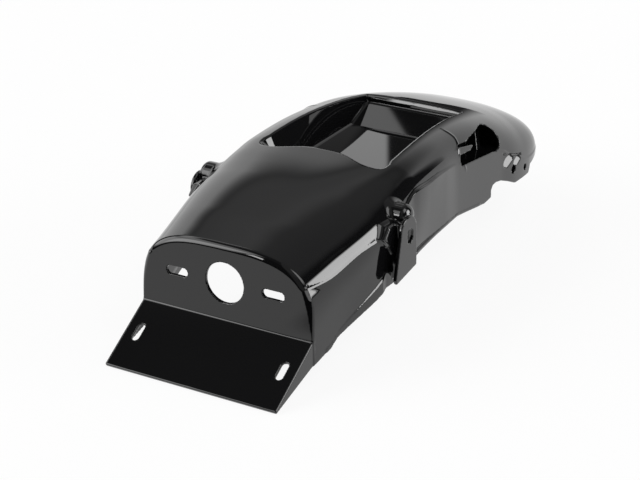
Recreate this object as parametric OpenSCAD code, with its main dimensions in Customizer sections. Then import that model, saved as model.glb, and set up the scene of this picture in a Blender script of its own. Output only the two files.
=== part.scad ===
// Tail tidy: a short gloss black mudguard moulded in one piece with a lamp panel, a number plate flap,
// two pairs of lugs and a shallow tray in its top.
// X is to the right of the bike, Y is forward, Z is up. The origin is the centre of the lamp hole,
// on the rear face of the lamp panel.

/* [Wall] */
// Thickness of the moulding
wall = 3; // [2.5:0.1:4]
// Radius of the edge where skin and side walls turn into the lamp panel
rim_r = 4.5; // [3:0.5:5.5]

/* [Rear panel] */
// Height of the lamp hole's centre above the fold
lamp_rise = 32.3; // [30:0.1:36]
// Diameter of the lamp hole
lamp_hole_d = 35; // [20:1:38]
// Distance between the centres of the two lamp slots
lamp_slot_pitch = 90; // [70:1:100]
// Length of a lamp slot over its round ends
lamp_slot_len = 20; // [12:1:24]
// Width of a lamp slot
lamp_slot_w = 7.5; // [5:0.5:9]

/* [Plate flap] */
// Width of the flap and of the fold
flap_w = 160; // [150:1:164]
// Depth of the flap, from fold to lower edge
flap_len = 65; // [55:1:70]
// Angle of the flap from the vertical
flap_angle = 58.9; // [50:0.1:65]
// Distance of the plate slots' centres from the flap's side edges
plate_slot_inset = 12.5; // [9:0.5:20]
// Distance of the plate slots from the fold
plate_slot_drop = 30; // [20:1:45]
// Length of a plate slot over its round ends
plate_slot_len = 16; // [8:1:20]
// Width of a plate slot
plate_slot_w = 6.5; // [5:0.5:8]

/* [Rear lugs] */
// Half the width over the lugs' outer faces
lug_x = 101.5; // [98:0.5:106]
// Thickness of the lug's plate
lug_plate_t = 3.2; // [2.5:0.1:4]
// Place of the lug's round top along the guard
lug_y = 115.5; // [112:0.5:120]
// Height of the centre of the plate's round top above the fold
lug_top_z = 52.5; // [48:0.5:56]
// Radius of the plate's round top
lug_r = 13; // [12:0.5:15]
// Foot of the plate's outline, as [place, height above the fold]
lug_foot = [[94, 17.5], [95.5, 13.5], [128.5, 18.5]];
// Outline of the lug's body behind the plate, as [place, height above the fold]
lug_body = [[107, 14.5], [106, 25], [102.5, 36], [96, 46], [88, 54], [96, 62], [126, 62], [126, 17.5]];
// Half the width over the lug's body
lug_body_x = 94.5; // [93:0.5:96]
// Radius of the dome on top of the lug
dome_r = 10.5; // [9:0.5:12]
// Place of the dome's centre along the guard
dome_y = 121; // [118:0.5:123]
// Height of the dome's centre above the fold
dome_z = 63.5; // [60:0.5:65]
// Place of the lug's slot along the guard
lug_hole_y = 117.5; // [115:0.5:120]
// Height of the lug's slot above the fold
lug_hole_z = 48; // [44:0.5:52]
// Width of the lug's slot
lug_slot_w = 9; // [6:0.5:11]
// Height of the lug's slot over its round ends
lug_slot_h = 12; // [9.5:0.5:15]

/* [Front lugs] */
// Diameter of the front lug's main hole
front_hole_d = 8; // [5:0.5:9]
// Place of the main hole along the guard
front_hole_y = 346; // [340:1:350]
// Height of the main hole above the fold
front_hole_z = 19; // [16:1:24]
// Diameter of the front lug's second hole
second_hole_d = 6; // [4:0.5:7]
// Place of the second hole along the guard
second_hole_y = 371; // [366:1:374]
// Height of the second hole above the fold
second_hole_z = 12; // [9:0.5:14]
// Depth of the bosses behind the front lug's holes, with the wall
boss_depth = 9.5; // [6:0.5:12]
// Thickness of the bosses around the holes
boss_rim = 3.5; // [2:0.5:5]

/* [Side cut-outs] */
// Outline of the window in the front shoulder, as [place, height above the fold]
window = [[243, 58.8], [242.3, 68.5], [263, 66.3], [270, 69], [242, 75.6], [243, 77.2], [259, 75],
    [266, 75.6], [286, 75.4], [302, 74.5], [311, 71], [318, 64], [321, 56], [319, 50], [311, 48.5],
    [303.6, 50.5]];
// Outline of the notch in the lower edge, as [place, height above the fold]
notch = [[303, -10], [303, 14], [306, 17.5], [312, 18.3], [322, 16.3], [336, 10.5], [351, 3.5], [384, 0],
    [384, -10]];
// Distance of the window pocket's back wall from the middle
pocket_x = 54; // [53:0.5:58]
// Place of the pocket's rear end
pocket_rear_y = 237; // [234:1:240]
// Place of the pocket's front end
pocket_front_y = 330; // [326:1:334]
// Height of the pocket's floor above the fold
pocket_z = 48; // [46:0.5:48]
// Outline of the rib in the pocket, as [place, height above the fold]
pocket_rib = [[305, 44], [313, 44], [324, 80], [315, 80]];
// How far the rib stands out from the pocket's back wall
rib_depth = 12; // [8:0.5:12]

/* [Tray] */
// Height of the tray's floor above the fold
tray_z = 61.5; // [58:0.5:66]
// Half the width of the tray's floor
tray_half_w = 46.5; // [40:0.5:48]
// Place where the floor turns up into the ramp
tray_fold_y = 279; // [265:1:290]
// Height of the ramp's front end above the fold
ramp_z = 73.5; // [70:0.5:75]
// Place of the opening's rear edge
opening_rear_y = 157; // [152:1:165]
// Place of the opening's front edge
opening_front_y = 312; // [305:1:325]
// Half the width of the opening at its rear edge
opening_rear_half_w = 56.5; // [50:0.5:58]
// Half the width of the opening at its front edge
opening_front_half_w = 48.3; // [47:0.1:52]

/* [Skin along the guard] */
// Crown height at stations along the guard, as [place, height above the fold]
crown = [[0, 64.5], [18, 68.5], [45, 74.5], [100, 84.5], [155, 90], [180, 91.5], [210, 92], [240, 90.8],
    [280, 86.6], [320, 79.4], [350, 72.2], [375, 64.4], [395, 56.6], [410, 49.5], [420, 44], [428, 38.5],
    [434, 30]];
// Greatest half width of the skin at stations along the guard
half_width = [[0, 80.2], [40, 84], [80, 89], [100, 90.5], [120, 89.5], [140, 87.4], [160, 86.5],
    [210, 84.8], [240, 83], [320, 83], [350, 84], [375, 83], [395, 80], [410, 75.5], [420, 70],
    [428, 62.5], [434, 48]];
// Height at which the skin is widest
wide_z = [[0, 2], [100, 40], [240, 40], [280, 36], [320, 28], [350, 18], [375, 12], [434, 12]];
// How square the skin's arch is: 2 is an ellipse, higher is squarer
squareness = [[0, 3.2], [50, 3.1], [100, 3], [120, 3.4], [140, 4.2], [160, 4.8], [240, 5], [280, 4.6],
    [320, 3.7], [350, 3], [380, 2.6], [434, 2.5]];
// Height of the ledge where the skin ends and the side wall starts
ledge_z = [[0, 44], [30, 43.5], [65, 50.5], [90, 53], [110, 58], [130, 68], [150, 77], [178, 75.5],
    [200, 72.5], [229, 68], [240, 63.5], [280, 57], [300, 52], [325, 45], [340, 36], [357, 28], [378, 20],
    [395, 17.5], [434, 17]];
// How far the side wall's top stands out from the skin's end
belt_step = [[0, 0.4], [105, 0.4], [125, 3], [155, 6], [180, 4.4], [210, 2], [240, 0.5], [434, 0.3]];
// How far the side wall's top lies below the skin's end
belt_drop = [[0, 0.4], [110, 0.4], [140, 7], [155, 7], [178, 5.8], [200, 3.5], [229, 2.5], [240, 1],
    [434, 0.4]];
// Height of the side walls' lower edge
lower_z = [[0, -20.6], [24, -15], [32, -9.5], [82, 3], [97, 8], [130, 8], [150, 16], [190, 16],
    [236, 15], [290, 6], [302, 7], [381, 2], [386, 9], [402, 10], [434, 10]];
// Half width over the side walls at their lower edge
lower_half_w = [[0, 80.6], [30, 81.6], [80, 89], [100, 91.2], [120, 91.5], [140, 90.5], [155, 88.5],
    [180, 86], [210, 83.6], [240, 81.6], [280, 81.2], [378, 81.2], [395, 79], [410, 74.5],
    [420, 69.5], [428, 62.5], [434, 48]];
// Width of the lip along the lower edge
lip_w = [[0, 0], [34, 0], [38, 1.8], [84, 1.8], [92, 0], [140, 0], [150, 1.8], [280, 1.8], [288, 0],
    [434, 0]];

/* [Hidden] */

arch_steps = 13;
station_step = 12;
lip_h = 3;
guard_end = crown[len(crown) - 1][0];
nose_y = 378;
below = 40;
beyond = 20;
round_fn = 64;
front_wall_x = lookup(front_hole_y, lower_half_w) + 1;
flap_dir = [0, -sin(flap_angle), -cos(flap_angle)];
flap_edge = flap_len * flap_dir;

// Stations of the loft: closer together at the rounded rear rim and at the nose
rim_stations = [for (a = [0, 25, 50, 70]) rim_r * (1 - cos(a))];
body_stations = [for (y = [rim_r : station_step : nose_y - station_step / 2]) y];
nose_stations = [for (a = [0 : 7 : 84]) nose_y + (guard_end - nose_y) * sin(a)];
stations = concat(rim_stations, body_stations, nose_stations, [guard_end]);
inner_stations = concat([wall], [for (y = body_stations) if (y > 2 * wall) y],
    [for (y = nose_stations) if (y < guard_end - 2 * wall) y], [guard_end - wall]);

// Slope of a table at its entry i, for a smooth curve through the entries
function slope(t, i) = let(a = max(i - 1, 0), b = min(i + 1, len(t) - 1))
    (t[b][1] - t[a][1]) / (t[b][0] - t[a][0]);

// Smooth value of a table at place y
function smooth(t, y) =
    let(hits = [for (k = [0 : len(t) - 2]) if (t[k][0] <= y && y <= t[k + 1][0]) k])
    let(i = len(hits) > 0 ? hits[0] : (y < t[0][0] ? 0 : len(t) - 2))
    let(h = t[i + 1][0] - t[i][0])
    let(s = min(max((y - t[i][0]) / h, 0), 1))
    let(a = (1 + 2 * s) * pow(1 - s, 2), b = s * pow(1 - s, 2))
    let(c = s * s * (3 - 2 * s), d = s * s * (s - 1))
    a * t[i][1] + b * h * slope(t, i) + c * t[i + 1][1] + d * h * slope(t, i + 1);

// How far the section is drawn in at the rounded rear rim
function rim_inset(y) = y < rim_r ? rim_r - sqrt(pow(rim_r, 2) - pow(rim_r - y, 2)) : 0;

// One point of the skin's arch, in the direction a from its centre
function arch_point(w, h, n, a) =
    let(c = abs(cos(a)), s = abs(sin(a)))
    let(k = pow(pow(c, n) + pow(s, n), -1 / n))
    [w * c * k, h * s * k];

// Right half of the section at a place along the guard, from the crown down to the lower edge, drawn in by t
function half_section(place, t, drop) =
    let(y = min(place + t * lookup(place, [[370, 0], [420, 1]]), guard_end), in = t + rim_inset(place))
    let(n = lookup(y, squareness), zb = smooth(wide_z, y))
    let(w = smooth(half_width, y) - t - 0.75 * rim_inset(place), h = smooth(crown, y) - zb - in)
    let(z_in = max(smooth(ledge_z, y) - t * min(lookup(y, belt_step) / 3, 1), zb + 0.5))
    let(r = min((z_in - zb) / h, 0.97))
    let(a_end = atan2(r, pow(1 - pow(r, n), 1 / n)))
    let(xb = w * pow(1 - pow(r, n), 1 / n) + lookup(y, belt_step), zt = z_in - lookup(y, belt_drop))
    let(zl = lookup(y, lower_z), xl = smooth(lower_half_w, y) - t - 0.3 * rim_inset(place))
    let(lip = t > 0 ? 0 : lookup(y, lip_w))
    concat(
        [for (i = [0 : arch_steps])
            let(q = arch_point(w, h, n, 90 - (90 - a_end) * i / arch_steps)) [q[0], zb + q[1]]],
        [[xb, zt],
         [xl, zl + lip_h - (t > 0 ? 0.1 : 0)],
         [xl + lip, zl + lip_h - 0.4],
         [xl + lip, zl - drop]]);

// Whole section as points in space
function section(y, t, drop) =
    let(half = half_section(y, t, drop), m = len(half))
    concat([for (i = [m - 1 : -1 : 1]) [-half[i][0], y, half[i][1]]], [for (p = half) [p[0], y, p[1]]]);

// Solid through all sections
module loft(places, t, drop) {
    rings = [for (y = places) section(y, t, drop)];
    m = len(rings[0]);
    n = len(rings);
    half = (m - 1) / 2;
    sides = [for (j = [0 : n - 2], i = [0 : m - 1]) let(k = (i + 1) % m)
        each [[j * m + i, (j + 1) * m + i, j * m + k], [j * m + k, (j + 1) * m + i, (j + 1) * m + k]]];
    rear = [for (i = [0 : half - 1]) let(k = m - 1 - i)
        each (i == half - 1 ? [[i, i + 1, k]] : [[i, i + 1, k], [i + 1, k - 1, k]])];
    front = [for (f = rear) [for (v = [2 : -1 : 0]) f[v] + (n - 1) * m]];
    polyhedron([for (r = rings) each r], concat(rear, sides, front), convexity = 8);
}

// Slot with round ends, standing along Z, long side along X
module slot(length, width, depth) {
    for (s = [-1, 1]) translate([s * (length - width) / 2, 0, -depth / 2])
        cylinder(d = width, h = depth, $fn = round_fn);
    cube([length - width, width, depth], center = true);
}

// Right half of the tray's outline at height z, drawn out by t
function tray_half(z, t) =
    let(s = (z - tray_z) / (88 - tray_z), w = tray_half_w, e = opening_rear_half_w, r = opening_rear_y)
    let(low = [[0, r + 12], [14, r + 12], [30, r + 12], [w - 7, r + 12], [w - 3, r + 13], [w - 1, r + 15],
        [w, r + 18], [w, r + 24], [w, opening_front_y + 3]])
    let(top = [[0, r], [14, r - 0.5], [30, r - 6.5], [44, r - 11], [e - 3, r - 12.5], [e + 2, r - 10],
        [e + 4, r - 5], [e + 2.5, r + 4], [opening_front_half_w, opening_front_y + 3]])
    [for (i = [0 : len(low) - 1]) let(p = low[i] + s * (top[i] - low[i]))
        [p[0] + t * p[0] / 50, p[1] + (i < 6 ? -t : (i == 8 ? t : 0))]];

// Whole outline of the tray at height z as points in space
function tray_ring(z, t) = let(half = tray_half(z, t), m = len(half))
    concat([for (i = [m - 1 : -1 : 1]) [-half[i][0], half[i][1], z]], [for (p = half) [p[0], p[1], z]]);

// Space of the tray: leaning walls, level floor, ramp at the front
module tray_space(t) {
    low = tray_ring(50, t);
    top = tray_ring(100, t);
    m = len(low);
    intersection() {
        polyhedron(concat(low, top), concat([[for (i = [0 : m - 1]) i]],
            [[for (i = [0 : m - 1]) 2 * m - 1 - i]],
            [for (i = [0 : m - 1]) let(k = (i + 1) % m) each [[i, m + i, k], [k, m + i, m + k]]]),
            convexity = 4);
        translate([-90, 0, 0]) rotate([90, 0, 90]) linear_extrude(180)
            polygon([[100, tray_z - t], [tray_fold_y + t / 6, tray_z - t], [opening_front_y + t, ramp_z - t],
                [opening_front_y + t, 95], [100, 95]]);
    }
}

// Shape seen from the side, standing out from x0 to x1
module side_shape(points, x0, x1) {
    translate([x0, 0, 0]) rotate([90, 0, 90]) linear_extrude(x1 - x0) polygon(points);
}

// Round bar along X from x0 to x1
module side_bar(y, z, d, x0, x1) {
    translate([x0, y, z]) rotate([0, 90, 0]) cylinder(d = d, h = x1 - x0, $fn = round_fn);
}

// Rear lug on the right side: a flat plate in front of a narrower body, under a domed top
module rear_lug() {
    neck_x = lug_x - lug_plate_t;
    side_shape([for (a = [0 : 12 : 180]) [lug_y + lug_r * cos(a), lug_top_z + lug_r * sin(a)],
        each lug_foot], neck_x, lug_x);
    side_shape(lug_body, 81, lug_body_x);
    side_shape([[107, 14.5], [107, 60], [126, 60], [126, 17.5]], 81, neck_x + 1);
    side_bar(dome_y, dome_z, 2 * dome_r, 76, 92);
    translate([92, dome_y, dome_z]) rotate([0, 90, 0])
        cylinder(r1 = dome_r, r2 = 0.5 * dome_r, h = neck_x + 1 - 92, $fn = round_fn);
}

// Space inside the lug, open below
module lug_space() {
    side_shape([[110, -below], [110, 57], [123, 57], [123, -below]], 79, lug_x - lug_plate_t);
}

// Holes of one side: lug slot, front lug holes
module side_holes() {
    translate([lug_x, lug_hole_y, lug_hole_z]) rotate([0, 90, 0]) slot(lug_slot_h, lug_slot_w, 30);
    side_bar(front_hole_y, front_hole_z, front_hole_d, 70, 90);
    side_bar(second_hole_y, second_hole_z, second_hole_d, 70, 90);
}

// Bosses behind the front lug's holes
module side_bosses() {
    inner_x = front_wall_x - boss_depth;
    side_bar(front_hole_y, front_hole_z, front_hole_d + 2 * boss_rim, inner_x, front_wall_x);
    side_bar(second_hole_y, second_hole_z, second_hole_d + 2 * boss_rim, inner_x, front_wall_x);
}

// Cut-outs of one side: the window in the front shoulder and the notch
module side_cuts() {
    side_shape(window, pocket_x + rib_depth + 0.5, lug_x);
    side_shape(notch, 70, lug_x);
}

// Walls of the pocket behind the window, with its upright rib
module pocket() {
    size = [lug_x - pocket_x, pocket_front_y - pocket_rear_y, 2 * below];
    difference() {
        translate([pocket_x - wall, pocket_rear_y - wall, pocket_z - wall])
            cube(size + [wall, 2 * wall, wall]);
        translate([pocket_x, pocket_rear_y, pocket_z]) cube(size + [1, 0, 1]);
    }
    intersection() {
        side_shape(pocket_rib, pocket_x - 1, pocket_x + rib_depth);
        translate([pocket_x, pocket_front_y + 1, pocket_z]) rotate([90, 0, 0]) linear_extrude(50)
            polygon([[-1, -2], [rib_depth, -2], [rib_depth, 0], [5, 25], [5, 40], [-1, 40]]);
    }
}

// Gusset of one side, between flap and side wall
module gusset() {
    translate([flap_w / 2 - wall, 0, 0]) rotate([90, 0, 90]) linear_extrude(wall)
        polygon([[1.6, 0.9], [flap_edge[1], flap_edge[2]], [1.6, -20.2]]);
}

// Number plate flap with its two slots
module flap() {
    rotate([90 - flap_angle, 0, 0]) difference() {
        translate([-flap_w / 2, -flap_len, -wall]) cube([flap_w, flap_len + 0.5, wall]);
        for (s = [-1, 1])
            translate([s * (flap_w / 2 - plate_slot_inset), -plate_slot_drop, -wall / 2])
            rotate([0, 0, 90]) slot(plate_slot_len, plate_slot_w, 3 * wall);
    }
}

// Shell of skin, side walls, rear panel and nose
module shell() {
    difference() {
        union() {
            loft(stations, 0, 0);
            for (s = [0, 1]) mirror([s, 0, 0]) rear_lug();
        }
        difference() {
            loft(inner_stations, wall, below);
            tray_space(wall);
            for (s = [0, 1]) mirror([s, 0, 0]) {
                pocket();
                side_bosses();
            }
        }
        for (s = [0, 1]) mirror([s, 0, 0]) lug_space();
        tray_space(0);
        translate([-flap_w / 2 + 2 * wall, -1, -30]) cube([flap_w - 4 * wall, wall + 2, 28]);
        for (s = [0, 1]) mirror([s, 0, 0]) {
            side_holes();
            side_cuts();
        }
        translate([0, beyond / 2, lamp_rise]) rotate([90, 0, 0])
            cylinder(d = lamp_hole_d, h = beyond, $fn = 96);
        for (s = [-1, 1]) translate([s * lamp_slot_pitch / 2, 0, lamp_rise]) rotate([90, 0, 0])
            slot(lamp_slot_len, lamp_slot_w, beyond);
    }
}

module mudguard() {
    color("#141417") translate([0, 0, -lamp_rise]) {
        shell();
        flap();
        for (s = [0, 1]) mirror([s, 0, 0]) gusset();
    }
}

mudguard();
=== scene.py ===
import math
import bmesh
import bpy
import numpy as np
from mathutils import Matrix, Vector


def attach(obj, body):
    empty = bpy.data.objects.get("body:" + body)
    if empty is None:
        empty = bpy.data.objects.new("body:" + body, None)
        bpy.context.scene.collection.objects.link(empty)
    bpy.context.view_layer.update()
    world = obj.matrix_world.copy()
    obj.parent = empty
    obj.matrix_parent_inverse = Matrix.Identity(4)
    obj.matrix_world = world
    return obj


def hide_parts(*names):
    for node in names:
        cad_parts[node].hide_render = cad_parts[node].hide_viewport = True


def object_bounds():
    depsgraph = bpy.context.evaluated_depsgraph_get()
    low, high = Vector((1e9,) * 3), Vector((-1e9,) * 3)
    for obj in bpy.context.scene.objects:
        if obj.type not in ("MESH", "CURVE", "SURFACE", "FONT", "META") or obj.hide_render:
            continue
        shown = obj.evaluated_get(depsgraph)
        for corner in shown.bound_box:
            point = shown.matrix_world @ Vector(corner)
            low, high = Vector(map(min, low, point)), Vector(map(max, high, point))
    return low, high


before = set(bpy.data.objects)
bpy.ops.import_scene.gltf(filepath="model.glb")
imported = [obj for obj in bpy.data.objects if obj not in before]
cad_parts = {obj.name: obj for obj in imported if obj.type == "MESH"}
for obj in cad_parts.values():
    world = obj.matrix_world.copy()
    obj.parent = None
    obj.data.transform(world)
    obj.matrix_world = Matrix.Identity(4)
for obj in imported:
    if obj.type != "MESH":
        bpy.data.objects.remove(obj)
cad_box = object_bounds()

# The moulding: one piece of gloss black ABS, about 3 mm thick, pressed out of a single tool with its
# lamp panel, plate flap, side walls, lugs and tray. It is drawn here as distances to its surfaces, in
# millimetres above the fold between panel and flap, so that every edge and corner gets its radius.
MM = 0.001
LAMP_RISE = 32.3
WALL = 3.0
GUARD_END = 434.0
places = np.arange(-60.0, 445.0, 0.5)


def along(knots):
    """Smooth curve through [place, value] knots, sampled at all places along the guard."""
    t, v = np.array(knots, float).T
    low = np.maximum(np.arange(len(t)) - 1, 0)
    high = np.minimum(np.arange(len(t)) + 1, len(t) - 1)
    slope = (v[high] - v[low]) / (t[high] - t[low])
    i = np.clip(np.searchsorted(t, places, side="right") - 1, 0, len(t) - 2)
    h = t[i + 1] - t[i]
    s = np.clip((places - t[i]) / h, 0, 1)
    rise = (1 + 2 * s) * (1 - s) ** 2 * v[i] + s * s * (3 - 2 * s) * v[i + 1]
    return rise + s * (1 - s) ** 2 * h * slope[i] + s * s * (s - 1) * h * slope[i + 1]


def at(curve, y):
    """Value of a curve at the places y."""
    return np.interp(y, places, curve)


crown = along([[0, 64.5], [18, 68.5], [45, 74.5], [100, 84.5], [155, 90], [180, 91.5], [210, 92],
               [240, 90.8], [280, 86.6], [320, 79.4], [350, 72.2], [375, 64.4], [395, 56.6], [410, 49.5],
               [420, 44], [428, 38.5], [434, 30]])
half_width = along([[0, 80.2], [40, 84], [80, 89], [100, 90.5], [120, 89.5], [140, 87.4], [160, 86.5],
                    [210, 84.8], [240, 83], [320, 83], [350, 84], [375, 83], [395, 80], [410, 75.5],
                    [420, 70], [428, 62.5], [434, 48]])
wide_z = along([[0, 2], [100, 40], [240, 40], [280, 36], [320, 28], [350, 18], [375, 12], [434, 12]])
squareness = along([[0, 3.2], [50, 3.1], [100, 3], [120, 3.4], [140, 4.2], [160, 4.8], [240, 5],
                    [280, 4.6], [320, 3.7], [350, 3], [380, 2.6], [434, 2.5]])
ledge_z = along([[0, 44], [30, 43.5], [65, 50.5], [90, 53], [110, 58], [130, 68], [150, 77], [178, 75.5],
                 [200, 72.5], [229, 68], [240, 63.5], [280, 57], [300, 52], [325, 45], [340, 36],
                 [357, 28], [378, 20], [395, 17.5], [434, 17]])
belt_step = along([[0, 0.4], [105, 0.4], [125, 3], [155, 6], [180, 4.4], [210, 2], [240, 0.5], [434, 0.3]])
belt_drop = along([[0, 0.4], [110, 0.4], [140, 7], [155, 7], [178, 5.8], [200, 3.5], [229, 2.5], [240, 1],
                   [434, 0.4]])
lower_half_w = along([[0, 80.6], [30, 81.6], [80, 89], [100, 91.2], [120, 91.5], [140, 90.5], [155, 88.5],
                      [180, 86], [210, 83.6], [240, 81.6], [280, 81.2], [378, 81.2], [395, 79],
                      [410, 74.5], [420, 69.5], [428, 62.5], [434, 48]])
lower_edge = np.array([[-60, -36], [0, -20.6], [24, -15], [32, -9.5], [82, 3], [97, 8], [130, 8], [150, 16],
                       [190, 16], [236, 15], [290, 6], [302, 7], [381, 2], [386, 9], [402, 10], [440, 10]])
ledge_share = np.clip((ledge_z - wide_z) / (crown - wide_z), 0, 0.97)
belt_x = half_width * (1 - ledge_share ** squareness) ** (1 / squareness) + belt_step
belt_z = ledge_z - belt_drop


def round_and(a, b, r):
    """Where both hold, with the edge between them rounded to radius r."""
    return np.minimum(-r, np.maximum(a, b)) + np.hypot(np.maximum(a + r, 0), np.maximum(b + r, 0))


def round_or(a, b, r):
    """Where either holds, with a fillet of radius r in the corner between them."""
    return -round_and(-a, -b, r)


def outline(p, q, corners):
    """Signed distance from points p, q to a closed outline."""
    gap = np.full(np.shape(p), 1e9)
    inside = np.zeros(np.shape(p), bool)
    for (ax, ay), (bx, by) in zip(corners, corners[1:] + corners[:1]):
        ex, ey = bx - ax, by - ay
        t = np.clip(((p - ax) * ex + (q - ay) * ey) / (ex * ex + ey * ey), 0, 1)
        gap = np.minimum(gap, np.hypot(p - ax - ex * t, q - ay - ey * t))
        if ey:
            inside ^= ((ay > q) != (by > q)) & (p < ex * (q - ay) / ey + ax)
    return np.where(inside, -gap, gap)


def slot_gap(p, q, length, width):
    """Signed distance to a slot with round ends, long along p."""
    return np.hypot(np.maximum(np.abs(p) - (length - width) / 2, 0), q) - width / 2


def arch(x, y, z):
    """Distance to the skin's arch in its own cross section."""
    w, top, base, n = (at(c, y) for c in (half_width, crown, wide_z, squareness))
    u = np.maximum(x, 1e-6) / w
    v = np.maximum(z - base, 1e-6) / (top - base)
    f = np.maximum((u ** n + v ** n) ** (1 / n), 0.4)
    steep = np.hypot((u / f) ** (n - 1) / w, (v / f) ** (n - 1) / (top - base))
    return (f - 1) / np.maximum(steep, 2e-3)


def skin(x, y, z):
    """Distance to the skin's arch, corrected for how fast the section changes along the guard."""
    slant = (arch(x, y + 0.6, z) - arch(x, y - 0.6, z)) / 1.2
    return arch(x, y, z) / np.sqrt(1 + np.minimum(slant * slant, 30))


def side_face(y, z):
    """Half width over the flat side wall at height z."""
    foot_z = np.interp(y, *lower_edge.T)
    share = (z - foot_z) / np.maximum(at(belt_z, y) - foot_z, 4)
    return at(lower_half_w, y) + (at(belt_x, y) - at(lower_half_w, y)) * np.clip(share, -0.5, 1.3)


FLAP_ANGLE = math.radians(58.9)
FLAP_LEN = 65.0
FLAP_HALF_W = 80.0
flap_along = (-math.sin(FLAP_ANGLE), -math.cos(FLAP_ANGLE))
flap_out = (-math.cos(FLAP_ANGLE), math.sin(FLAP_ANGLE))
FLAP_EDGE = (FLAP_LEN * flap_along[0], FLAP_LEN * flap_along[1])

TRAY_Z, TRAY_HALF_W, TRAY_FOLD_Y = 61.5, 46.5, 279.0
OPEN_REAR_Y, OPEN_FRONT_Y = 157.0, 312.0
OPEN_REAR_HALF_W, OPEN_FRONT_HALF_W = 56.5, 48.3
RAMP_Z, RIM_Z = 73.5, 88.0
FRONT_RIM_Z, FRONT_LEAN, FRONT_LEAN_H = 81.0, 0.46, 4.2
REAR_EAR = 12.5


def tray(x, y, z):
    """Distance to the tray's space: leaning walls, level floor, ramp, an ear at each rear corner, and a
    front wall whose upper part leans forward."""
    s = np.clip((z - TRAY_Z) / (RIM_Z - TRAY_Z), -0.3, 1.3)
    rim_w = np.interp(y, [OPEN_REAR_Y, OPEN_REAR_Y + 6, OPEN_FRONT_Y],
                      [OPEN_REAR_HALF_W + 3.5, OPEN_REAR_HALF_W + 1.5, OPEN_FRONT_HALF_W])
    side = x - (TRAY_HALF_W + (rim_w - TRAY_HALF_W) * s)
    sideways = np.clip((x - 10) / 40, 0, 1)
    ear = REAR_EAR * sideways ** 2 * (3 - 2 * sideways)
    rear = (OPEN_REAR_Y + 12 - (12 + ear) * s) - y
    space = round_and(side * 0.95, rear * 0.85, 6.0)
    ramp = TRAY_Z + (RAMP_Z - TRAY_Z) * np.maximum(y - TRAY_FOLD_Y, 0) / (OPEN_FRONT_Y - TRAY_FOLD_Y)
    space = round_and(space, (ramp - z) * 0.97, 2.5)
    front = OPEN_FRONT_Y + (np.maximum(z, FRONT_RIM_Z - FRONT_LEAN_H) - FRONT_RIM_Z) * FRONT_LEAN
    return round_and(space, (y - front) * 0.91, 0.8)


LUG_X, LUG_PLATE, LUG_BODY_X, LUG_ROOT_X = 101.5, 3.2, 94.5, 82.0
LUG_TOP_Y, LUG_TOP_Z, LUG_TOP_R = 115.5, 52.5, 13.0
LUG_FOOT = [(102.5, 52.5), (94.0, 17.5), (95.5, 13.5), (128.5, 18.5), (128.5, 52.5)]
LUG_BODY = [(107.0, 14.5), (106.0, 25.0), (102.5, 36.0), (96.0, 46.0), (88.0, 54.0), (96.0, 62.0),
            (126.0, 62.0), (126.0, 17.5)]
WEB_Y, WEB_HALF, WEB_TOP_Z, WEB_X = 116.5, 9.5, 60.0, 99.0
DOME_X, DOME_Y, DOME_Z, DOME_R, DOME_FLATNESS = 94.0, 121.5, 62.0, 10.5, 1.56


def lug(x, y, z):
    """Distances to a rear lug: its narrower body with the dome on top, and the flat plate before it."""
    shape = np.minimum(outline(y, z, LUG_FOOT), np.hypot(y - LUG_TOP_Y, z - LUG_TOP_Z) - LUG_TOP_R)
    plate = round_and(shape, np.abs(x - LUG_X + LUG_PLATE / 2) - LUG_PLATE / 2, 0.9)
    web_foot = 15.5 + (y - WEB_Y + WEB_HALF) * 0.15
    web = np.maximum.reduce([np.abs(y - WEB_Y) - WEB_HALF, z - WEB_TOP_Z, web_foot - z, x - WEB_X])
    body = round_or(round_and(outline(y, z, LUG_BODY), x - LUG_BODY_X, 2.5), web, 3.0)
    outward = np.maximum(x - DOME_X, 0) * DOME_FLATNESS
    dome = np.hypot(outward, np.hypot(y - DOME_Y, z - DOME_Z)) - DOME_R
    return np.maximum(round_or(body, dome, 1.5), LUG_ROOT_X - x), plate


WINDOW = [(243.0, 58.8), (242.3, 68.5), (263.0, 66.3), (270.0, 69.0), (242.0, 75.6), (243.0, 77.2),
          (259.0, 75.0), (266.0, 75.6), (286.0, 75.4), (302.0, 74.5), (311.0, 71.0), (318.0, 64.0),
          (321.0, 56.0), (319.0, 50.0), (311.0, 48.5), (303.6, 50.5)]
NOTCH = [(303.0, -10.0), (303.0, 14.0), (306.0, 17.5), (312.0, 18.3), (322.0, 16.3), (336.0, 10.5),
         (351.0, 3.5), (384.0, 0.0), (384.0, -10.0)]
POCKET_X, POCKET_REAR_Y, POCKET_FRONT_Y, POCKET_Z = 54.0, 237.0, 330.0, 48.0
RIB = [(305.0, 44.0), (313.0, 44.0), (324.0, 80.0), (315.0, 80.0)]
RIB_DEPTH, RIB_LEAN = 12.0, 0.28


def pocket(x, y, z):
    """Distance to the walls, floor and rib of the pocket behind the window."""
    ends = np.abs(y - (POCKET_REAR_Y + POCKET_FRONT_Y) / 2) - (POCKET_FRONT_Y - POCKET_REAR_Y) / 2
    outside = np.maximum.reduce([POCKET_X - WALL - x, POCKET_Z - WALL - z, ends - WALL])
    inside = round_and(round_and(POCKET_X - x, POCKET_Z - z, 1.5), ends, 1.5)
    lean = RIB_LEAN * np.clip(z - POCKET_Z, 0, 25)
    face = np.maximum(x - POCKET_X - RIB_DEPTH + lean, POCKET_X - 1 - x)
    rib = round_and(np.maximum(face, POCKET_Z - 2 - z), outline(y, z, RIB), 0.8)
    return np.minimum(np.maximum(outside, -inside), rib)


LIP_W = np.array([[12, 0], [18, 1.5], [90, 1.5], [97, 0], [142, 0], [150, 1.8], [280, 1.8], [287, 0]])
LIP_SPLIT_Y, LIP_H, SLOPING_LIP_H, SLOPING_LIP_RISE = 120.0, 3.0, 8.0, 0.1


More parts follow.
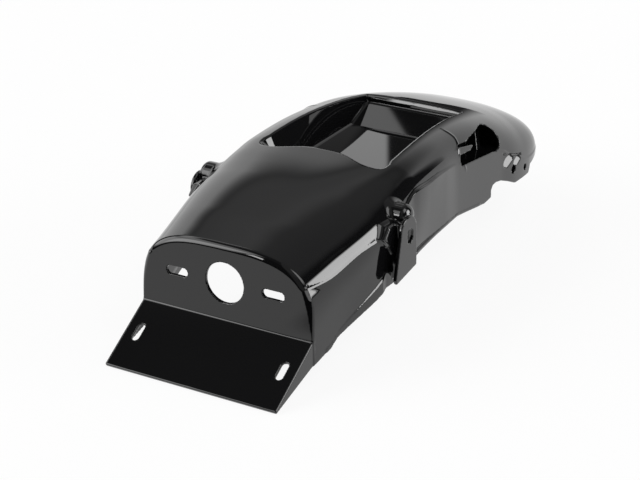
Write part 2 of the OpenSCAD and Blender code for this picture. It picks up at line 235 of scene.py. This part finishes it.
def with_lip(body, wall_face, y, up):
    """Adds the lip along the side wall's foot: its upper face slopes at the rear, and is level ahead."""
    width = np.interp(y, *LIP_W.T)
    over = up - SLOPING_LIP_H - SLOPING_LIP_RISE * (y - 34)
    sloping = np.maximum(0.88 * wall_face + 0.47 * over, over - 1)
    lip = np.where(y < LIP_SPLIT_Y, round_and(wall_face - width, sloping, 0.3),
                   round_and(wall_face - width, up - LIP_H, 0.8))
    return np.where(width > 0.05, round_or(body, lip, 0.4), body)


BEAD_LINE = np.array([[52, 252], [71, 241], [83, 247]])
BEAD_H, BEAD_HALF_W = 0.6, 1.3


def bead(x, y, z):
    """Height of the fine bead that runs over the shoulder behind the window."""
    beside = y - np.interp(z, *BEAD_LINE.T)
    height = BEAD_H * np.exp(-(beside / BEAD_HALF_W) ** 2)
    return height * np.clip((x - 60) / 6, 0, 1) * np.clip((z - 50) / 5, 0, 1)


FRONT_HOLES = ((346.0, 19.0, 4.0), (371.0, 12.0, 3.0))
BOSS_RIM, BOSS_X = 3.5, 72.7
DENTS = ((81.0, 335.0, 30.5, 5.4), (81.6, 352.5, 25.0, 4.2))
DENT_FACING, DENT_STRETCH = (0.86, -0.222, 0.46), 0.62
CREASE_LINE = np.array([[322, 42], [333, 38], [345, 33.5], [355, 30], [364, 27.5]])
CREASE_HALF_W, CREASE_DEPTH, CREASE_Y, CREASE_HALF_LEN = 1.0, 1.3, 343.0, 19.0


def front_holes(y, z, wider):
    """Distance from the axes of the two holes at the front, less their radii and an extra width."""
    return np.minimum(*[np.hypot(y - hole_y, z - hole_z) - r - wider for hole_y, hole_z, r in FRONT_HOLES])


def dented(x, y, z):
    """Distance to the two oval dents above the front holes, each with a flat floor facing up and out."""
    nx, ny, nz = DENT_FACING
    return np.minimum(*[np.maximum(-ny * (y - dent_y) - nx * (x - dent_x) - nz * (z - dent_z),
                                   np.hypot((y - dent_y) * DENT_STRETCH, z - dent_z) - r)
                        for dent_x, dent_y, dent_z, r in DENTS])


LAMP_R, LAMP_SLOT_X, LAMP_SLOT_LEN, LAMP_SLOT_W = 17.5, 45.0, 20.0, 7.5
PLATE_SLOT_DOWN, PLATE_SLOT_X, PLATE_SLOT_LEN, PLATE_SLOT_W = 30.0, 67.5, 16.0, 6.5
LUG_SLOT_Y, LUG_SLOT_Z, LUG_SLOT_H, LUG_SLOT_W = 117.5, 48.0, 12.0, 9.0
LUG_SPACE_HALF, LUG_SPACE_TOP_Z = 6.5, 57.0


def moulding(x, y, z):
    """Signed distance to the whole moulding: outer form, less the hollow, plus the flap, less the holes."""
    x = np.abs(x)
    foot_z = np.interp(y, *lower_edge.T)
    wall_face = (x - side_face(y, z)) * 0.99
    body = round_or(skin(x, y, z), round_and(wall_face, z - at(belt_z, y), 1.2), 1.4)
    body = round_and(body, y - GUARD_END, 5.0)
    body = with_lip(body, wall_face, y, z - foot_z)
    body = body - bead(x, y, z)
    rim = np.clip(1.2 + 3.3 * z / 30, 1.2, 4.5)
    body = round_and(body, -y, rim)
    ear, plate = lug(x, y, z)
    body = round_or(round_or(body, ear, 3.5), plate, 1.2)
    space = tray(x, y, z)
    bosses = np.maximum(front_holes(y, z, BOSS_RIM), BOSS_X - x)
    dents = dented(x, y, z)
    hollow = np.maximum.reduce([body + WALL, WALL - space, WALL - dents])
    hollow = round_and(hollow, -np.minimum(pocket(x, y, z), bosses), 0.8)
    in_lug = np.maximum(z - LUG_SPACE_TOP_Z, x - LUG_X + LUG_PLATE)
    in_lug = round_and(np.abs(y - WEB_Y) - LUG_SPACE_HALF, in_lug, 1.0)
    hollow = np.minimum(hollow, np.maximum(in_lug, 80 - x))
    shell = round_and(body, -hollow, 0.5)
    shell = round_and(shell, (foot_z - z) * 0.97, 0.9)
    down = y * flap_along[0] + z * flap_along[1]
    out = y * flap_out[0] + z * flap_out[1]
    flap_edge = round_and(out, down - FLAP_LEN, 1.1)
    gusset_foot = (y - FLAP_EDGE[0]) * 0.274 - (z - FLAP_EDGE[1] + WALL) * 0.962
    wedge = round_and(x - FLAP_HALF_W, round_and(flap_edge, np.maximum(gusset_foot, y - 2.5), 0.6), 1.1)
    under = np.maximum.reduce([x - FLAP_HALF_W + WALL, out + WALL, y - 8])
    shell = round_and(round_or(shell, wedge, 1.0), -under, 0.4)
    shell = round_and(shell, -space, 2.0)
    shell = round_and(shell, -np.maximum(outline(y, z, WINDOW), 66.5 - x), 0.8)
    shell = round_and(shell, -np.maximum(outline(y, z, NOTCH), 60 - x), 0.8)
    crease = np.abs(z - np.interp(y, *CREASE_LINE.T)) * 0.95 - CREASE_HALF_W
    crease = np.maximum.reduce([crease, np.abs(y - CREASE_Y) - CREASE_HALF_LEN, -CREASE_DEPTH - body])
    shell = round_and(shell, -np.minimum(crease, dents), 0.7)
    up = z - LAMP_RISE
    lamp = np.minimum(np.hypot(x, up) - LAMP_R, slot_gap(x - LAMP_SLOT_X, up, LAMP_SLOT_LEN, LAMP_SLOT_W))
    shell = round_and(shell, -np.maximum(lamp, y - 12), 0.5)
    plate_slot = slot_gap(down - PLATE_SLOT_DOWN, x - PLATE_SLOT_X, PLATE_SLOT_LEN, PLATE_SLOT_W)
    shell = round_and(shell, -np.maximum(plate_slot, y), 0.5)
    lug_slot = slot_gap(z - LUG_SLOT_Z, y - LUG_SLOT_Y, LUG_SLOT_H, LUG_SLOT_W)
    holes = np.minimum(np.maximum(lug_slot, 92 - x), np.maximum(front_holes(y, z, 0.0), 70 - x))
    return round_and(shell, -holes, 0.5)


def surface(distance, low, high, step, block):
    """Skin of the solid where distance is below zero: points on a grid are measured near the surface only,
    and each cell that the surface crosses gives one point of the mesh."""
    count = [int(math.ceil((b - a) / (step * block))) for a, b in zip(low, high)]
    size = [n * block + 1 for n in count]
    field = np.full(size, 100.0, np.float32)
    middle = [a + (np.arange(n) + 0.5) * step * block for a, n in zip(low, count)]
    centres = np.stack(np.meshgrid(*middle, indexing="ij"), -1)
    reach = distance(*np.moveaxis(centres, -1, 0))
    field[:-1, :-1, :-1] = np.kron(reach, np.ones((block, block, block))).astype(np.float32)
    near = np.argwhere(np.abs(reach) < step * block * 1.25 + 1.0)
    local = np.stack(np.meshgrid(*[np.arange(block + 1)] * 3, indexing="ij"), -1).reshape(-1, 3)
    for part in np.array_split(near, max(1, len(near) * len(local) // 400000)):
        index = (part[:, None] * block + local[None]).reshape(-1, 3)
        points = np.array(low) + index * step
        field[tuple(index.T)] = distance(*points.T)
    inside = field < 0
    corners = [(i, j, k) for i in (0, 1) for j in (0, 1) for k in (0, 1)]
    cut = [slice(0, n - 1) for n in size]
    full = sum(inside[tuple(slice(c.start + o, c.stop + o) for c, o in zip(cut, corner))].astype(np.int8)
               for corner in corners)
    cells = np.argwhere((full > 0) & (full < 8))
    number = np.full(full.shape, -1, np.int32)
    number[tuple(cells.T)] = np.arange(len(cells))
    total = np.zeros((len(cells), 3))
    hits = np.zeros(len(cells))
    for axis in range(3):
        ahead = np.eye(3, dtype=int)[axis]
        for corner in corners:
            if corner[axis]:
                continue
            start = cells + corner
            a = field[tuple(start.T)]
            b = field[tuple((start + ahead).T)]
            crossed = (a < 0) != (b < 0)
            t = np.where(crossed, a / np.where(crossed, a - b, 1), 0)
            total += np.where(crossed[:, None], start - 0.0 + t[:, None] * ahead, 0)
            hits += crossed
    points = np.array(low) + total / hits[:, None] * step
    quads = []
    for axis in range(3):
        ahead = np.eye(3, dtype=int)[axis]
        one, two = np.eye(3, dtype=int)[(axis + 1) % 3], np.eye(3, dtype=int)[(axis + 2) % 3]
        a = inside[tuple(slice(1, n - 1) for n in size)]
        b = inside[tuple(slice(1 + o, n - 1 + o) for n, o in zip(size, ahead))]
        for enter in (True, False):
            edge = np.argwhere((a != b) & (a == enter)) + 1
            ring = [edge, edge - one, edge - one - two, edge - two]
            if not enter:
                ring = ring[::-1]
            quads.append(np.stack([number[tuple(r.T)] for r in ring], -1))
    quads = np.concatenate(quads)
    return points, quads[(quads >= 0).all(1)]


def slope(distance, p, reach=0.12):
    """Direction of steepest rise of a distance at points p."""
    steps = np.eye(3) * reach
    return np.stack([(distance(*(p + s).T) - distance(*(p - s).T)) / (2 * reach) for s in steps], -1)


def settle(distance, p, rounds=2):
    """Moves points onto the surface, and gives its outward direction there."""
    for _ in range(rounds):
        g = slope(distance, p)
        size = np.maximum((g * g).sum(1), 0.3)
        p = p - np.clip(distance(*p.T) / size, -0.5, 0.5)[:, None] * g
    g = slope(distance, p)
    return p, g / np.linalg.norm(g, axis=1)[:, None]


def refine(bm, distance, shortest=2.4, turn=0.7):
    """Splits long edges where the surface's direction halfway isn't the mean of that at both ends."""
    bm.verts.index_update()
    place = np.array([vert.co for vert in bm.verts])
    ends = np.array([[vert.index for vert in edge.verts] for edge in bm.edges])
    first, last = place[ends[:, 0]], place[ends[:, 1]]
    facing = slope(distance, place)
    facing /= np.linalg.norm(facing, axis=1)[:, None]
    mean = facing[ends[:, 0]] + facing[ends[:, 1]]
    there = slope(distance, (first + last) / 2)
    lengths = np.linalg.norm(mean, axis=1) * np.linalg.norm(there, axis=1)
    share = (mean * there).sum(1) / np.maximum(lengths, 1e-6)
    picked = (share < math.cos(math.radians(turn))) & (np.linalg.norm(last - first, axis=1) > shortest)
    bmesh.ops.subdivide_edges(bm, edges=[edge for edge, pick in zip(bm.edges[:], picked) if pick], cuts=1)
    bmesh.ops.triangulate(bm, faces=[face for face in bm.faces if len(face.verts) > 3])


# Only the right half is meshed. It is thinned, split again where it bends, laid back on the exact
# surface and mirrored, and every point gets the surface's own direction as its normal.
FACES = 180000
STEP, BLOCK = (1.05), 5
points, quads = surface(moulding, (-3 * STEP, -59.0, -37.5), (104.0, 437.0, 92.0), STEP, BLOCK)
quads = quads[(points[quads, 0] > -STEP * 0.99).all(1)]
mesh = bpy.data.meshes.new("half")
mesh.from_pydata(points.tolist(), [], quads.tolist())
half = bpy.data.objects.new("half", mesh)
bpy.context.collection.objects.link(half)
thin = half.modifiers.new("thin", "DECIMATE")
thin.ratio = min(1.0, FACES / 4 / len(quads))
depsgraph = bpy.context.evaluated_depsgraph_get()
thinned = half.evaluated_get(depsgraph).to_mesh()
bm = bmesh.new()
bm.from_mesh(thinned)
bmesh.ops.bisect_plane(bm, geom=bm.verts[:] + bm.edges[:] + bm.faces[:], plane_co=(0, 0, 0),
                       plane_no=(1, 0, 0), clear_inner=True)
bmesh.ops.triangulate(bm, faces=bm.faces[:])
for _ in range(3):
    refine(bm, moulding)
bm.verts.index_update()
flat = np.array([vert.co for vert in bm.verts])
corners = np.array([[vert.index for vert in face.verts] for face in bm.faces])
bm.free()
bpy.data.objects.remove(half)
seam = np.abs(flat[:, 0]) < 0.02
placed, outward = settle(moulding, flat)
placed[seam, 0] = 0
outward[seam, 0] = 0
twin = np.where(seam, np.arange(len(flat)), len(flat) + np.cumsum(~seam) - 1)
placed = np.concatenate([placed, placed[~seam] * (-1, 1, 1)])
outward = np.concatenate([outward, outward[~seam] * (-1, 1, 1)])
corners = np.concatenate([corners, twin[corners][:, ::-1]])
mesh = bpy.data.meshes.new("moulding")
mesh.from_pydata(((placed - (0, 0, LAMP_RISE)) * MM).tolist(), [], corners.tolist())
for face in mesh.polygons:
    face.use_smooth = True
mesh.normals_split_custom_set_from_vertices(outward.tolist())
guard = bpy.data.objects.new("moulding", mesh)
bpy.context.collection.objects.link(guard)
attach(guard, "root")
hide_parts("mudguard")


# Material: ABS moulded in a polished tool, deep black, with the mirror-like skin that the tool leaves.
# One shader serves the whole piece, because the whole piece is one plastic from one tool.
def linear(code):
    """Linear colour from an sRGB hex code."""
    parts = [int(code[i:i + 2], 16) / 255 for i in (1, 3, 5)]
    return [c / 12.92 if c < 0.04045 else ((c + 0.055) / 1.055) ** 2.4 for c in parts] + [1.0]


def add(tree, kind, links=(), **settings):
    """Adds a node with its settings, inputs and links."""
    node = tree.nodes.new(kind)
    for name, value in settings.items():
        if hasattr(node, name):
            setattr(node, name, value)
        else:
            node.inputs[name.replace("_", " ")].default_value = value
    for socket, source in links:
        tree.links.new(source, node.inputs[socket])
    return node


abs_black = bpy.data.materials.new("gloss_moulded_abs")
abs_black.use_nodes = True
skin_shader = abs_black.node_tree.nodes["Principled BSDF"]
skin_shader.inputs["Base Color"].default_value = linear("#0b0b0c")
skin_shader.inputs["Roughness"].default_value = 0.025
skin_shader.inputs["IOR"].default_value = 1.52
mesh.materials.append(abs_black)

# Camera: the photograph's viewing angle, right of and above the rear panel. Turns are in degrees, the
# aim and distance in millimetres from the lamp hole, and the focal length in pixels of the photograph.
VIEW_AZ, VIEW_EL, VIEW_ROLL = (math.radians(a) for a in (31.33, 24.65, -1.11))
FOCAL_PX, FRAME_PX, SENSOR_MM = 1928.0, 640.0, 36.0
AIM_RIGHT, AIM_UP, DISTANCE = -74.13, -63.13, 1519.95
back = Vector((math.sin(VIEW_AZ) * math.cos(VIEW_EL),
               -math.cos(VIEW_AZ) * math.cos(VIEW_EL),
               math.sin(VIEW_EL)))
level = Vector((math.cos(VIEW_AZ), math.sin(VIEW_AZ), 0))
rise = back.cross(level)
right = level * math.cos(VIEW_ROLL) + rise * math.sin(VIEW_ROLL)
up = rise * math.cos(VIEW_ROLL) - level * math.sin(VIEW_ROLL)
eye = right * -AIM_RIGHT - up * AIM_UP + back * DISTANCE - Vector((0, 0, LAMP_RISE))
camera_data = bpy.data.cameras.new("camera")
camera_data.sensor_width = SENSOR_MM
camera_data.lens = SENSOR_MM * FOCAL_PX / FRAME_PX
camera_data.clip_start, camera_data.clip_end = 0.01, 60
camera = bpy.data.objects.new("camera", camera_data)
bpy.context.collection.objects.link(camera)
camera.matrix_world = Matrix.Translation(eye * MM) @ Matrix((right, up, back)).transposed().to_4x4()
bpy.context.scene.camera = camera

# Studio: white floor and backdrop. On the camera's side the floor is dark to every ray but the camera's
# own. The lights are windows of directions in the world, and the camera itself sees the world white.
def math_node(operation, *values):
    """Adds a math node; each value is a number or a socket."""
    node = tree.nodes.new("ShaderNodeMath")
    node.operation = operation
    for k, value in enumerate(values):
        if isinstance(value, (int, float)):
            node.inputs[k].default_value = value
        else:
            tree.links.new(value, node.inputs[k])
    return node.outputs[0]


def fade(value, start, end):
    """0 below start and 1 above end, smooth between."""
    node = tree.nodes.new("ShaderNodeMapRange")
    node.interpolation_type = "SMOOTHSTEP"
    node.inputs["From Min"].default_value = start
    node.inputs["From Max"].default_value = end
    tree.links.new(value, node.inputs["Value"])
    return node.outputs["Result"]


FLOOR_HALF, GLOW_SHARE = 9, 0.90
floor_z = cad_box[0][2]
scene = bpy.context.scene
scene.view_settings.view_transform = "Standard"
floor_mesh = bpy.data.meshes.new("floor")
floor_corners = [(a * FLOOR_HALF, b * FLOOR_HALF, floor_z) for a, b in ((-1, -1), (1, -1), (1, 1), (-1, 1))]
floor_mesh.from_pydata(floor_corners, [], [(0, 1, 2, 3)])
floor = bpy.data.objects.new("floor", floor_mesh)
bpy.context.collection.objects.link(floor)
paper = bpy.data.materials.new("white_paper")
paper.use_nodes = True
tree = paper.node_tree
tree.nodes.clear()
shade = add(tree, "ShaderNodeBsdfDiffuse", Color=linear("#fbfbfb"))
glow = add(tree, "ShaderNodeEmission", Color=(1, 1, 1, 1), Strength=1.0)
lit = add(tree, "ShaderNodeMixShader", Fac=GLOW_SHARE, links=((1, shade.outputs[0]), (2, glow.outputs[0])))
spot = add(tree, "ShaderNodeSeparateXYZ", links=((0, add(tree, "ShaderNodeTexCoord").outputs["Object"]),))
behind = math_node("MULTIPLY", spot.outputs["Y"], -1.0)
corner = math_node("MULTIPLY", fade(spot.outputs["X"], 0.0, 0.04), fade(behind, 0.06, 0.10))
beyond = math_node("MAXIMUM", corner, fade(behind, 0.27, 0.34))
ray = add(tree, "ShaderNodeLightPath")
beyond = math_node("MULTIPLY", beyond, math_node("SUBTRACT", 1.0, ray.outputs["Is Camera Ray"]))
dark = add(tree, "ShaderNodeBsdfDiffuse", Color=linear("#0a0a0a"))
mix = add(tree, "ShaderNodeMixShader", links=((0, beyond), (1, lit.outputs[0]), (2, dark.outputs[0])))
add(tree, "ShaderNodeOutputMaterial", links=((0, mix.outputs[0]),))
floor_mesh.materials.append(paper)

world = bpy.data.worlds.new("studio")
scene.world = world
world.use_nodes = True
tree = world.node_tree
tree.nodes.clear()


def softbox(az, az_soft, el, el_soft, strength):
    """Light from a window of directions: degrees right of straight ahead and above the horizon."""
    sides = math_node("SUBTRACT", fade(azimuth, az[0] - az_soft, az[0] + az_soft),
                      fade(azimuth, az[1] - az_soft, az[1] + az_soft))
    rows = math_node("SUBTRACT", fade(elevation, el[0] - el_soft, el[0] + el_soft),
                     fade(elevation, el[1] - el_soft, el[1] + el_soft))
    return math_node("MULTIPLY", math_node("MULTIPLY", sides, rows), strength)


place = add(tree, "ShaderNodeTexCoord")
split = add(tree, "ShaderNodeSeparateXYZ", links=((0, place.outputs["Object"]),))
azimuth = math_node("MULTIPLY", math_node("ARCTAN2", split.outputs["X"], split.outputs["Y"]), 180 / math.pi)
elevation = math_node("MULTIPLY", math_node("ARCSINE", split.outputs["Z"]), 180 / math.pi)
boxes = [
    softbox((-94, 200), 4, (46, 100), 9, 0.27),            # grey ceiling
    softbox((-200, -94), 4, (54, 100), 5, 0.08),           # its darker part, behind on the left
    softbox((-64, -19), 6, (34, 50), 5, 0.33),             # backdrop ahead, upper part
    softbox((-64, -29.1), 0.12, (-30, 31), 5, 1.3),        # backdrop ahead, left sheet
    softbox((-19, 30), 4, (-30, 38), 11, 1.0),             # backdrop ahead, right sheet
    softbox((-70, -48.7), 0.15, (50.5, 57), 1.5, 1.2),     # strip above the left sheet
    softbox((52, 78), 2, (3, 27), 2.5, 9.0),               # bright lamp on the right
    softbox((48.5, 52), 1, (5, 19), 2, 6.0),               # its left edge
    softbox((66, 112), 6, (36, 70), 6, 2.8),               # glow above the lamp
    softbox((-149, -66), 4, (40, 52), 4, 2.2),             # large light on the left, upper part
    softbox((-148.5, -84), 1.5, (4, 38), 5, 3.0),          # lower part
    softbox((-148, -122), 5, (8, 38), 5, 2.0),             # its bright middle
    softbox((80, 128), 6, (-10, 12), 4, 2.2),              # white card low on the right
    softbox((128, 178), 6, (-10, 50), 8, 0.2),             # dim room behind the camera
    softbox((-156, -150.4), 0.15, (16, 30), 3, 9.0),       # small lamp behind the camera
]
total = boxes[0]
for box in boxes[1:]:
    total = math_node("ADD", total, box)
flags = [
    softbox((-48.65, -46.8), 0.1, (49, 58), 1, 1.0),       # dark gap beside the strip
    softbox((-29.05, -22), 0.12, (15, 30), 2, 1.0),        # dark gap between the two sheets
]
for flag in flags:
    total = math_node("MULTIPLY", total, math_node("SUBTRACT", 1.0, flag))
ray = add(tree, "ShaderNodeLightPath")
LEAST_LIGHT = 0.03
total = math_node("MAXIMUM", total, LEAST_LIGHT)
room = add(tree, "ShaderNodeBackground", Color=(1, 1, 1, 1), links=((1, total),))
white = add(tree, "ShaderNodeBackground", Color=(1, 1, 1, 1), Strength=1.0)
mix = add(tree, "ShaderNodeMixShader",
          links=((0, ray.outputs["Is Camera Ray"]), (1, room.outputs[0]), (2, white.outputs[0])))
add(tree, "ShaderNodeOutputWorld", links=((0, mix.outputs[0]),))
